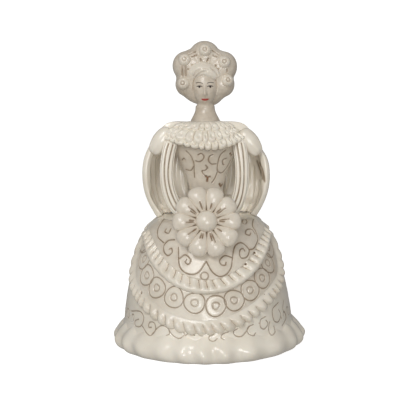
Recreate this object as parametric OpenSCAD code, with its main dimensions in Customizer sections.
// Bell in the form of a standing lady, in millimetres.
// Z is up, the foot of the skirt stands on Z = 0 and the figure faces -Y.
// Left and right are as seen from the front, and angles round the skirt start at the front.

/* [Skirt] */
// Height of the skirt from its foot to the flat crown
skirt_h = 86; // [84:0.5:88]
// Outer radius of the skirt at its foot
foot_r = 56.6; // [55.6:0.2:57.6]
// Radius of the flat crown that the bodice stands on
crown_r = 28.6; // [28:0.2:29.6]
// Power of the skirt's rounded outline
skirt_round = 1.4; // [1.35:0.01:1.45]
// Wall of the skirt
wall_t = 4.5; // [4:0.1:4.8]
// Thickness of the crown
crown_t = 6; // [5:0.1:7]
// Layer of slip between two luted pieces
slip = 0.2; // [0.18:0.01:0.24]

/* [Hem] */
// Height of the rolled hem
hem_h = 17; // [15:0.5:18]
// How far the roll stands out from the skirt
hem_out = 5.8; // [5:0.1:6.6]
// Depth of the waves in the roll
hem_wave = 0.8; // [0.4:0.1:1.2]
// Waves round the hem
hem_lobes = 24; // [20:4:28]
// Height of the hem's underside above the foot
hem_lift = 0.6; // [0.4:0.1:1]

/* [Draped tiers] */
// Height of the apron's edge at its lowest point, as a share of the skirt's height
apron_low = 0.55; // [0.535:0.005:0.56]
// Rise of the apron's edge towards the hips, as a share of the skirt's height
apron_rise = 0.38; // [0.37:0.002:0.39]
// Thickness of the apron
apron_t = 2.6; // [2:0.1:3]
// Width of the crimped frill along the apron
apron_frill_w = 6.4; // [5.6:0.1:7]
// Thickness of the apron's frill
apron_frill_t = 4; // [3.4:0.1:4.4]
// Crimps in the apron's frill
apron_crimps = 25; // [22:1:30]
// Height of the overskirt's edge above the hem at its lowest point
over_gap = 6.3; // [6:0.1:7.4]
// Gentle rise of the overskirt's edge round the sides, as a share of the height above the hem
over_rise = 0.377; // [0.36:0.001:0.385]
// Steep rise of the overskirt's edge at the hips, as a share of the height above the hem
over_hip_rise = 0.507; // [0.49:0.001:0.52]
// Thickness of the overskirt
over_t = 1.6; // [1.2:0.1:2]
// Width of the lumpy frill along the overskirt
over_frill_w = 6.8; // [6:0.1:7.4]
// Thickness of the overskirt's frill
over_frill_t = 3.4; // [2.8:0.1:4]
// Lumps in the overskirt's frill
over_crimps = 36; // [30:1:40]

/* [Bodice] */
// Height of the bodice from the crown to the neck
bodice_h = 58.3; // [57:0.1:60]
// Half width of the bodice where it stands on the crown
bodice_base_r = 17; // [15:0.5:19]
// Half width of the waist
waist_r = 11; // [10:0.2:12]
// Height of the waist above the crown
waist_up = 14; // [12:0.5:16]
// Half width of the bodice at the chest
chest_r = 20.6; // [20:0.1:21]
// Height of the chest above the crown
chest_up = 48; // [47:0.5:49]
// Depth of the bodice as a share of its width
bodice_depth = 0.66; // [0.64:0.01:0.68]

/* [Head and hair] */
// Radius of the neck where it meets the bodice
neck_base_r = 8.6; // [8:0.1:8.8]
// Radius of the neck at its slimmest
neck_r = 6.6; // [6:0.1:7]
// Height of the neck
neck_h = 10; // [9:0.5:11]
// Half width of the head
head_r = 9; // [8.6:0.1:9.2]
// Half height of the head
head_half_h = 12.8; // [12.4:0.1:13]
// Height of the head's middle above the bodice
head_up = 25; // [24.6:0.1:25.4]
// Mean radius of the hair's outline
hair_r = 20.6; // [20:0.1:21]
// Height of the hair's lobes
hair_lobe = 1.3; // [1:0.1:1.6]
// Height of the hair's middle above the head's middle
hair_up = 6.9; // [6.6:0.1:7.2]
// Depth of the hair behind its middle
hair_back = 13; // [12:0.5:14]
// Depth of the hair in front of its middle
hair_front = 11; // [10.5:0.1:11.5]
// Distance of the hair's middle behind the neck's axis
hair_set_back = 4; // [3.5:0.1:4.5]
// Half width of the opening for the face
face_half_w = 9.8; // [9.6:0.1:10.4]
// Half height of the opening for the face
face_half_h = 13.6; // [13.4:0.1:14]
// Radius of a hair rosette
rosette_r = 3.7; // [3.4:0.1:3.9]
// Height of a rosette above the hair
rosette_h = 2.2; // [1.8:0.1:2.6]
// Depth of a rosette's seat in the hair
rosette_seat = 1.6; // [1.2:0.1:1.8]
// Radius of the rolled fringe
fringe_r = 2.2; // [1.8:0.1:2.3]
// Half length of the rolled fringe
fringe_half = 7; // [6.5:0.1:7.2]
// Height of the fringe above the head's middle
fringe_up = 9.3; // [8.8:0.1:9.6]

/* [Collar, cape and arms] */
// Half width of the collar
collar_half_w = 24.5; // [24:0.1:25]
// Depth of the collar in front of the neck's axis
collar_front = 18.5; // [18.2:0.1:19]
// Drop of the collar's lower edge below the neck
collar_drop = 17; // [16:0.5:18]
// Rise of the collar's lower edge towards the shoulders
collar_side_rise = 10.5; // [10:0.5:11]
// Rise of the collar's upper edge up the neck
collar_up = 4.2; // [4:0.1:4.6]
// Thickness of a collar scallop
collar_t = 2.4; // [2:0.1:2.8]
// Half width of the cape
cape_half_w = 41.9; // [41:0.1:43]
// Half width of the cape at its hem
cape_hem_r = 34; // [33.5:0.1:34.5]
// Height of the cape's widest place above the crown
cape_mid_up = 26.4; // [25:0.2:28]
// Rise of the cape's upper edge up the neck
cape_up = 4.8; // [4.4:0.1:5]
// Depth of the cape as a share of its width
cape_depth = 0.7; // [0.68:0.01:0.74]
// Thickness of the cape
cape_t = 3; // [2.6:0.1:3.4]
// Extra thickness of the cape's rolled front edges
cape_roll = 2.2; // [1.8:0.1:2.6]
// Half width of a shoulder puff
sleeve_half_w = 5.2; // [4.8:0.1:5.4]
// Half length of a shoulder puff
sleeve_half_h = 10.5; // [10:0.1:11]
// Half depth of a shoulder puff
sleeve_half_d = 5; // [4.8:0.1:5.2]
// Half width of an arm strap
arm_half_w = 4.2; // [4:0.1:4.4]
// Half thickness of an arm strap
arm_half_t = 2.6; // [2.4:0.1:2.8]

/* [Flower] */
// Height of the flower's centre above the crown
flower_up = 1; // [0:0.2:2]
// Lean of the flower's face towards the sky, in degrees
flower_tilt = 16; // [14:0.5:18]
// Gap between the lowest petals and the apron
flower_stand = 0.6; // [0.4:0.1:1]
// Radius of the flower
petal_r = 22; // [21:0.2:23]
// Radius of the flower's domed centre
centre_r = 6.8; // [6:0.1:7.4]
// Height of the flower's domed centre
centre_h = 4.6; // [4:0.1:5.2]
// Radius of the pad behind the flower
pad_r = 9; // [8:0.1:10]
// Length of the pad behind the flower
pad_len = 14; // [13:0.2:15]

/* [Clapper] */
// Radius of the boss under the crown
boss_r = 9; // [8:0.1:10]
// Height of the boss under the crown
boss_h = 6; // [5:0.1:7]
// Radius of the wire of staple, link and clapper
wire_r = 0.8; // [0.7:0.05:0.9]
// Play between two hooked wires
play = 0.1; // [0.06:0.01:0.14]
// Half distance between the legs of the staple
staple_half = 3.5; // [3.3:0.1:4]
// Drop of the staple's bar below the boss
staple_drop = 5.5; // [5:0.1:6.5]
// Length of the link between its end bars
link_len = 10; // [9:0.2:11]
// Half width of the link
link_half = 2.5; // [2.3:0.1:2.8]
// Inner radius of the clapper's eye
eye_r = 1.6; // [1.4:0.1:1.8]
// Radius of the clapper's ball
bead_r = 9.5; // [8.5:0.1:9.8]
// Height of the ball's centre above the foot
bead_z = 20; // [19.5:0.5:22]
// Outer radius of the sleeve under the ball
ferrule_r = 1.8; // [1.5:0.1:2.2]
// Length of the sleeve under the ball
ferrule_h = 3; // [2.5:0.1:3.5]

/* [Hidden] */
petal_count = 10;
rosette_count = 5;

$fn = 72;
glaze = [0.93, 0.91, 0.86];
wire = [0.72, 0.6, 0.36];
clay = [0.85, 0.8, 0.72];

// Heights that follow from the stack of pieces
ceiling_z = skirt_h - crown_t;
bodice_z = skirt_h + slip;
neck_z = bodice_z + bodice_h;
head_z = neck_z + slip + head_up;
hair_z = head_z + hair_up;
tier_top_gap = 1.5;

// Outline of the skirt: radius at a height, and height at a radius on the dome
function skirt_r(z) = crown_r + (foot_r - crown_r) * pow(max(0, 1 - pow(z / skirt_h, 2)), 1 / skirt_round);
function dome_z(r) = r <= crown_r ? skirt_h
    : skirt_h * sqrt(1 - pow((r - crown_r) / (foot_r - crown_r), skirt_round));
function on_skirt(th, z, out) = let (r = skirt_r(z) + out) [r * sin(th), -r * cos(th), z];

function mix(a, b, t) = a + (b - a) * t;
function ease(a, b, t) = mix(a, b, (1 - cos(180 * t)) / 2);
function unit(v) = v / norm(v);

// Closed solid through a row of point rings, capped at both ends or joined into a loop.
// The rings turn anticlockwise when seen from the far end of the row.
module skin(rings, loop = false) {
    n = len(rings[0]);
    m = len(rings);
    end = (m - 1) * n;
    sides = [for (i = [0 : loop ? m - 1 : m - 2], j = [0 : n - 1])
        let (a = i * n, b = ((i + 1) % m) * n, k = (j + 1) % n)
        each [[a + j, b + j, b + k], [a + j, b + k, a + k]]];
    caps = loop ? [] : [for (j = [0 : n / 2 - 2]) each [
        [j, j + 1, n - 2 - j], [j, n - 2 - j, n - 1 - j],
        [end + n - 2 - j, end + j + 1, end + j], [end + n - 1 - j, end + n - 2 - j, end + j]]];
    polyhedron(points = [for (ring = rings) each ring], faces = concat(sides, caps), convexity = 6);
}

// Skirt, boss and hem

module skirt_form(out, top) {
    steps = 30;
    rotate_extrude() polygon(concat([[0, 0]], [for (i = [0 : steps])
        let (z = skirt_h * sin(90 * i / steps)) [skirt_r(z) + out, z]], [[0, top]]));
}

module skirt_bell() {
    steps = 24;
    reach = asin(ceiling_z / skirt_h);
    outer = [for (i = [0 : steps]) let (z = skirt_h * sin(90 * i / steps)) [skirt_r(z), z]];
    inner = [for (i = [steps : -1 : 0]) let (z = skirt_h * sin(reach * i / steps)) [skirt_r(z) - wall_t, z]];
    color(glaze) rotate_extrude() polygon(concat(outer, [[0, skirt_h], [0, ceiling_z]], inner));
}

boss_z = ceiling_z - boss_h;
leg_depth = boss_h - 1;

module staple_boss() {
    rounding = 2;
    color(clay) difference() {
        translate([0, 0, boss_z]) rotate_extrude() polygon(concat([[0, 0], [boss_r - rounding, 0]],
            [for (a = [15 : 15 : 90]) [boss_r - rounding + rounding * sin(a), rounding - rounding * cos(a)]],
            [[boss_r, boss_h], [0, boss_h]]));
        for (x = [-staple_half, staple_half]) translate([x, 0, boss_z - 1]) cylinder(r = wire_r + slip,
            h = leg_depth + slip + 1);
    }
}

bar_z = boss_z - staple_drop;
wire_bend = 1.8;

// Quarter bend of wire that leads from the X direction into the Z direction
module bend() {
    rotate([90, 0, 0]) rotate_extrude(angle = 90) translate([wire_bend, 0]) circle(r = wire_r, $fn = 32);
}

module hanger_staple() {
    run = staple_half - wire_bend;
    color(wire) {
        translate([-run, 0, bar_z]) rotate([0, 90, 0]) cylinder(r = wire_r, h = 2 * run, $fn = 32);
        for (side = [0, 1]) mirror([side, 0, 0]) {
            translate([run, 0, bar_z + wire_bend]) rotate([0, 90, 0]) bend();
            translate([staple_half, 0, bar_z + wire_bend])
                cylinder(r = wire_r, h = staple_drop - wire_bend + leg_depth, $fn = 32);
        }
    }
}

// Section of the hem as [distance from the skirt, height], where wave runs from -1 to 1
function hem_section(wave) = [[slip, hem_lift], [slip, hem_h / 2], [slip, hem_h],
    [0.3 * hem_out + 0.5 * hem_wave * wave, hem_h + 0.4 * wave],
    [0.72 * hem_out + hem_wave * wave, 0.72 * hem_h],
    [hem_out + hem_wave * wave, 0.4 * hem_h],
    [0.86 * hem_out + hem_wave * wave, 0.16 * hem_h],
    [0.4 * hem_out, hem_lift]];

module hem_ruffle() {
    steps = 5 * hem_lobes;
    color(glaze) skin([for (i = [0 : steps - 1]) let (th = 360 * i / steps)
        [for (p = hem_section(cos(hem_lobes * th))) on_skirt(th, p[1], p[0])]], loop = true);
}

// Draped tiers

// Heights of the two draped edges at an angle from the front
over_lean = 0.022;
over_hip_power = 30;
over_line = function (th) hem_h + over_gap + (skirt_h - hem_h) * (over_rise * pow(sin(th), 2)
    + over_hip_rise * pow(sin(th), over_hip_power) + over_lean * sin(2 * th));
apron_line = function (th) skirt_h * (apron_low + apron_rise * pow(sin(th), 2));

tier_top_z = dome_z(cape_hem_r + tier_top_gap);
over_end = 82;
apron_end = 70;
apron_field_end = 60;

// Point beside a draped edge, a distance up from it and square to it, as [angle, height]
function beside(line, th, up) = let (z = line(th), step = 0.5, r = skirt_r(z),
    run = r * 2 * step * PI / 180, rise = line(th + step) - line(th - step), d = norm([run, rise]))
    [th - up * rise / d / r * 180 / PI, z + up * run / d];

// Share of the way along an edge, spread so that the crimps keep their length on the steep ends
function spread(t, even) = mix(t, sin(90 * t), even);

module frill(line, end, even, w, t, crimps, slant) {
    steps = 3 * crimps;
    ups = [-1 / 2, 0, 1 / 2, 1 / 2, 1 / 4, 0, -1 / 4, -1 / 2] * w;
    low = [0, 0, 0, 0.5, 0.6, 0.55, 0.5, 0.4] * t;
    swell = [0, 0, 0, 0.1, 0.3, 0.45, 0.45, 0.3] * t;
    color(glaze) skin([for (i = [0 : steps]) let (th = end * spread(2 * i / steps - 1, even))
        [for (j = [0 : 7]) let (p = beside(line, th, ups[j]),
            crimp = (1 + cos(120 * i + slant * ups[j])) / 2)
            on_skirt(p[0], p[1], slip + low[j] + swell[j] * crimp)]]);
}

// Sheet of clay on the skirt between two edges given as functions of a share from -1 to 1
module drape(lower, upper, t) {
    steps = 24;
    rows = 8;
    color(glaze) skin([for (i = [0 : steps]) let (u = 2 * i / steps - 1, a = lower(u), b = upper(u)) concat(
        [for (k = [0 : rows]) let (p = mix(a, b, k / rows)) on_skirt(p[0], p[1], slip)],
        [for (k = [rows : -1 : 0]) let (p = mix(a, b, k / rows)) on_skirt(p[0], p[1], slip + t)])]);
}

module overskirt() {
    drape(function (u) beside(over_line, over_end * u, over_frill_w / 2 + slip),
        function (u) beside(apron_line, apron_end * u, -apron_frill_w / 2 - slip), over_t);
}

module apron() {
    drape(function (u) beside(apron_line, apron_field_end * u, apron_frill_w / 2 + slip),
        function (u) [(apron_field_end - 2) * u, tier_top_z], apron_t);
}

module overskirt_frill() {
    frill(over_line, over_end, 0.45, over_frill_w, over_frill_t, over_crimps, 0);
}

module apron_frill() {
    slant = 12;
    frill(apron_line, apron_end, 0.2, apron_frill_w, apron_frill_t, apron_crimps, slant);
}

// Bodice, head and hair

function bodice_r(up) = up < waist_up ? ease(bodice_base_r, waist_r, up / waist_up)
    : up < chest_up ? ease(waist_r, chest_r, (up - waist_up) / (chest_up - waist_up))
    : neck_base_r + (chest_r - neck_base_r) * sqrt(1 - pow((up - chest_up) / (bodice_h - chest_up), 2));

module bodice() {
    steps = 14;
    around = 32;
    shoulder = [for (a = [15 : 15 : 90]) chest_up + (bodice_h - chest_up) * sin(a)];
    ups = concat([for (i = [0 : steps]) chest_up * i / steps], shoulder);
    color(glaze) skin([for (up = ups) [for (j = [0 : around - 1]) let (a = 360 * j / around)
        [bodice_r(up) * cos(a), bodice_depth * bodice_r(up) * sin(a), bodice_z + up]]]);
}

// Radius of neck and head at a height above the bodice
function head_at(up) = max(up < neck_h ? ease(neck_base_r, neck_r, up / neck_h) : up < head_up ? neck_r : 0,
    head_r * sqrt(max(0, 1 - pow((up - head_up) / head_half_h, 2))));

module head_form(grow) {
    neck = [for (i = [0 : 8]) neck_h * i / 8];
    skull = [for (a = [-70 : 10 : 90]) head_up + head_half_h * sin(a)];
    ups = [for (up = concat(neck, [for (s = skull) if (s > neck_h) s])) up];
    translate([0, 0, neck_z + slip]) rotate_extrude() polygon(concat([[0, -grow]],
        [[head_at(0) + grow, -grow]], [for (up = ups) [head_at(up) + grow, up]],
        [[0, head_up + head_half_h + grow]]));
}

module head() {
    color(glaze) head_form(0);
}

// Outline of the hair seen from the front: three lobes on top that fade towards the nape
function hair_outline(a) = hair_r + hair_lobe * cos(6 * (a - 90)) * max(0, (sin(a) + 0.5) / 1.5);

// Rosettes as [angle from the right, distance from the hair's middle]
rosette_places = [[90, 16], [145, 17], [34, 15], [201, 16], [-15, 14.8]];

module at_rosette(i) {
    a = rosette_places[i - 1][0];
    out = rosette_places[i - 1][1];
    front = hair_front * sqrt(1 - pow(out / hair_outline(a), 2));
    lean = atan2(out / pow(hair_outline(a), 2), front / pow(hair_front, 2));
    translate([0, hair_set_back, hair_z]) rotate([0, -a, 0]) translate([out, -front, 0])
        rotate([0, 0, lean]) rotate([90, 0, 0]) children();
}

module hair_mass() {
    around = 42;
    lats = [-84, -64, -44, -22, 0, 22, 44, 64, 84];
    translate([0, hair_set_back, hair_z]) skin([for (lat = lats) [for (j = [0 : around - 1])
        let (a = 360 * j / around, r = hair_outline(a) * cos(lat))
        [r * cos(a), -(lat < 0 ? hair_back : hair_front) * sin(lat), r * sin(a)]]]);
}

module hair() {
    deep = 2 * hair_front;
    color(glaze) resize([0, 0, 0]) difference() {
        hair_mass();
        head_form(2 * slip, $fn = 32);
        translate([0, 0, head_z]) rotate([90, 0, 0]) scale([face_half_w, face_half_h, 1])
            cylinder(r = 1, h = deep, $fn = 32);
        for (i = [1 : rosette_count]) at_rosette(i) translate([0, 0, -rosette_seat - slip])
            cylinder(r = rosette_r + slip, h = 3 * rosette_h, $fn = 24);
    }
}

module rosette(i) {
    edge = 0.4 * rosette_h;
    pit_r = 0.3 * rosette_r;
    dome = [for (a = [0 : 15 : 60]) [rosette_r * cos(a), edge + (rosette_h - edge) * sin(a)]];
    color(glaze) at_rosette(i) rotate_extrude($fn = 36) polygon(concat([[0, -rosette_seat],
        [rosette_r, -rosette_seat]], dome, [[pit_r, rosette_h], [0.6 * pit_r, 0.7 * rosette_h],
        [0, 0.7 * rosette_h]]));
}

module hair_fringe() {
    steps = 14;
    around = 10;
    sag = 5;
    color(glaze) skin([for (i = [0 : steps]) let (u = 2 * i / steps - 1, x = fringe_half * u,
        up = fringe_up - sag * u * u, r = fringe_r * (1 - 0.6 * u * u),
        y = -sqrt(max(1, pow(head_at(head_up + up), 2) - x * x)) - r - 3 * slip)
        [for (j = [0 : around - 1]) let (a = 360 * j / around)
            [x, y + r * cos(a), head_z + up + r * sin(a)]]]);
}

// Collar

collar_end = 80;
collar_top_r = neck_base_r + slip + 0.3;

// Point of the collar's underside at an angle from the front and a share down its slope, raised by out
function on_collar(th, s, out) = let (spread_out = sqrt(s),
    x = mix(collar_top_r, collar_half_w, spread_out) + out,
    y = mix(collar_top_r, collar_front, spread_out) + out,
    low = neck_z - collar_drop + collar_side_rise * pow(sin(th), 2))
    [x * sin(th), -y * cos(th), mix(neck_z + collar_up, low, s) + 0.4 * out];

module collar_row(s_top, s_low, scallops) {
    steps = 4 * scallops;
    rows = 3;
    color(glaze) skin([for (i = [0 : steps]) let (th = collar_end * (2 * i / steps - 1),
        bulge = abs(sin(45 * i)))
        concat([for (k = [0 : rows]) on_collar(th, mix(s_low, s_top, k / rows), 0)],
            [for (k = [rows : -1 : 0]) on_collar(th, mix(s_low, s_top, k / rows),
                collar_t * mix(mix(0.6, 1, bulge), 0.4, k / rows))])]);
}

module collar_top_row() {
    collar_row(0.06, 0.35, 11);
}

module collar_middle_row() {
    collar_row(0.37, 0.67, 13);
}

module collar_bottom_row() {
    collar_row(0.69, 1, 15);
}

// Cape, puffs and arms

cape_power = 2.3;
cape_neck_r = neck_base_r + slip + 0.5;
cape_mid_z = skirt_h + cape_mid_up;
cape_top_z = neck_z + cape_up;
cape_reach = acos(pow(cape_neck_r / cape_half_w, cape_power / 2));

// Point of the cape at an angle from the back. The share runs from -1 at the neck to 1 at the hem.
function on_cape(back, share, out) = share < 0
    ? let (t = -share * cape_reach, c = cos(t), s = sin(t), up_h = cape_top_z - cape_mid_z,
        n = unit([pow(c, 2 - 2 / cape_power) / cape_half_w, pow(s, 2 - 2 / cape_power) / up_h]),
        a = cape_half_w * pow(c, 2 / cape_power))
        concat(cape_plan(back, a, out * n[0]), [cape_mid_z + up_h * pow(s, 2 / cape_power) + out * n[1]])
    : let (foot = cape_plan(back, cape_hem_r, out), hem_z = dome_z(norm(foot)) + 2 * slip)
        concat(cape_plan(back, mix(cape_half_w, cape_hem_r, pow(share, 2.2)), out),
            [mix(cape_mid_z, hem_z, share)]);
function cape_plan(back, a, out) = [(a + out) * sin(back),
    (mix(cape_neck_r, a, cape_depth) + out) * cos(back)];
function cape_end(share) = 102 - 9 * pow(max(0, -share), 1.5);

module cape() {
    steps = 28;
    rows = 14;
    color(glaze) skin([for (i = [0 : steps]) let (u = 2 * i / steps - 1)
        concat([for (k = [0 : rows]) let (share = 1 - 2 * k / rows) on_cape(u * cape_end(share), share, 0)],
            [for (k = [rows : -1 : 0]) let (share = 1 - 2 * k / rows,
                roll = cape_roll * pow(u, 12) * min(1, 1.5 * (1 + share)))
                on_cape(u * cape_end(share), share, -cape_t - roll)])]);
}

sleeve_lean = 14;
sleeve_x = 32.3;
sleeve_y = -10.8;
sleeve_up = -11.5;

module right_sleeve() {
    color(glaze) translate([sleeve_x, sleeve_y, neck_z + sleeve_up]) rotate([0, -sleeve_lean, 0])
        scale([sleeve_half_w, sleeve_half_d, sleeve_half_h]) sphere(r = 1);
}

module left_sleeve() {
    mirror([1, 0, 0]) right_sleeve();
}

// Frame of the flower: its centre stands so far out that the lowest petals clear the apron
petal_half_t = 2.7;
flower_z = skirt_h + flower_up;
flower_y = skirt_r(flower_z - petal_r * cos(flower_tilt)) + slip + apron_t + flower_stand
    + petal_half_t / cos(flower_tilt) - petal_r * sin(flower_tilt);

function at_flower(x, up, out) = [x,
    -flower_y + up * sin(flower_tilt) - out * cos(flower_tilt),
    flower_z + up * cos(flower_tilt) + out * sin(flower_tilt)];

module flower_frame() {
    translate([0, -flower_y, flower_z]) rotate([90 - flower_tilt, 0, 0]) children();
}

// Middle line of the right arm from the shoulder to the back of the flower
arm_drop = neck_z - flower_z;
arm_path = [[21.4, -7.6, neck_z - 0.178 * arm_drop], [28, -14, neck_z - 0.452 * arm_drop],
    [26, -25, neck_z - 0.765 * arm_drop], at_flower(16, 6, -6)];
function bezier(p, t) = pow(1 - t, 3) * p[0] + 3 * t * pow(1 - t, 2) * p[1] + 3 * t * t * (1 - t) * p[2]
    + pow(t, 3) * p[3];

module right_arm() {
    steps = 14;
    around = 20;
    ridges = 4;
    groove = 0.35;
    color(glaze) skin([for (i = [0 : steps]) let (t = i / steps, mid = bezier(arm_path, t), d = 0.01,
        along = unit(bezier(arm_path, t + d) - bezier(arm_path, t - d)),
        side = unit(cross(along, [0, -1, 0])), face = cross(along, side))
        [for (j = [0 : around - 1]) let (a = 360 * j / around,
            ridge = sin(a) < 0 ? groove * (1 - abs(cos(2 * ridges * a / 2))) : 0)
            mid + side * arm_half_w * cos(a) + face * (arm_half_t - ridge) * sin(a)]]);
}

module left_arm() {
    mirror([1, 0, 0]) right_arm();
}

// Flower

petal_root = 5.2;
core_r = 4.8;

function petal_half_w(share) = (mix(petal_root, petal_r, share) * tan(180 / petal_count) - slip)
    * sqrt(1 - pow(share, 5));
function petal_thick(share) = mix(1, petal_half_t, sin(150 * share)) * sqrt(1 - pow(share, 6));

module petal(i) {
    around = 10;
    shares = [0, 0.15, 0.32, 0.5, 0.68, 0.82, 0.92, 0.98];
    color(glaze) flower_frame() rotate([0, 0, 360 * (i - 0.5) / petal_count + 90])
        skin([for (s = shares) [for (j = [0 : around - 1]) let (a = 360 * j / around)
            [mix(petal_root, petal_r, s), petal_half_w(s) * cos(a), petal_thick(s) * sin(a)]]]);
}

pad_share = (pad_r - petal_root) / (petal_r - petal_root);
pad_top = -petal_thick(pad_share) - slip;
dome_base = petal_thick((centre_r - petal_root) / (petal_r - petal_root)) + slip;

module flower_pad() {
    color(clay) difference() {
        flower_frame() translate([0, 0, pad_top - pad_len]) cylinder(r = pad_r, h = pad_len);
        skirt_form(apron_t + 2 * slip, skirt_h);
    }
}

module flower_centre() {
    color(glaze) flower_frame() rotate_extrude() polygon(concat([[0, pad_top + slip], [core_r, pad_top + slip],
        [core_r, dome_base]], [for (a = [0 : 10 : 80]) [centre_r * cos(a), dome_base + centre_h * sin(a)]],
        [[0, dome_base + centre_h]]));
}

// Clapper

link_top_z = bar_z + 2 * wire_r + play;
link_low_z = link_top_z - link_len;
link_bend = 1.4;

module clapper_link() {
    run = link_half - link_bend;
    rise = link_len / 2 - link_bend;
    color(wire) translate([0, 0, link_top_z - link_len / 2]) for (turn = [0, 1]) {
        mirror([0, 0, turn]) translate([0, run, rise + link_bend]) rotate([90, 0, 0])
            cylinder(r = wire_r, h = 2 * run, $fn = 32);
        mirror([0, turn, 0]) translate([0, link_half, -rise]) cylinder(r = wire_r, h = 2 * rise, $fn = 32);
        for (flip = [0, 1]) mirror([0, 0, flip]) mirror([0, turn, 0]) translate([0, run, rise])
            rotate([0, 90, 0]) rotate([0, 0, 90]) rotate_extrude(angle = 90) translate([link_bend, 0])
                circle(r = wire_r, $fn = 32);
    }
}

eye_z = link_low_z + wire_r + play - eye_r;
ball_foot_z = bead_z - bead_r;

module clapper_rod() {
    top = eye_z - eye_r - wire_r;
    foot = ball_foot_z - ferrule_h - 1;
    color(wire) {
        translate([0, 0, eye_z]) rotate([90, 0, 0]) rotate_extrude() translate([eye_r + wire_r, 0])
            circle(r = wire_r, $fn = 32);
        translate([0, 0, foot]) cylinder(r = wire_r, h = top - foot, $fn = 32);
    }
}

module clapper_bead() {
    color(glaze) difference() {
        translate([0, 0, bead_z]) sphere(r = bead_r);
        translate([0, 0, ball_foot_z - 1]) cylinder(r = wire_r + play, h = 2 * bead_r + 2, $fn = 32);
    }
}

module bead_ferrule() {
    color(wire) translate([0, 0, ball_foot_z - ferrule_h]) difference() {
        cylinder(r = ferrule_r, h = ferrule_h, $fn = 32);
        translate([0, 0, -1]) cylinder(r = wire_r + play / 2, h = ferrule_h + 2, $fn = 32);
    }
}

skirt_bell();
staple_boss();
hanger_staple();
hem_ruffle();
overskirt();  // front_overskirt
rotate(180) overskirt();  // back_overskirt
overskirt_frill();  // front_overskirt_frill
rotate(180) overskirt_frill();  // back_overskirt_frill
apron();  // front_apron
rotate(180) apron();  // back_apron
apron_frill();  // front_apron_frill
rotate(180) apron_frill();  // back_apron_frill
bodice();
head();
hair();
hair_fringe();
collar_top_row();
collar_middle_row();
collar_bottom_row();
cape();
left_sleeve();
right_sleeve();
left_arm();
right_arm();
flower_pad();
flower_centre();
clapper_link();
clapper_rod();
clapper_bead();
bead_ferrule();
for (i = [1 : rosette_count]) rosette(i);
for (i = [1 : petal_count]) petal(i);
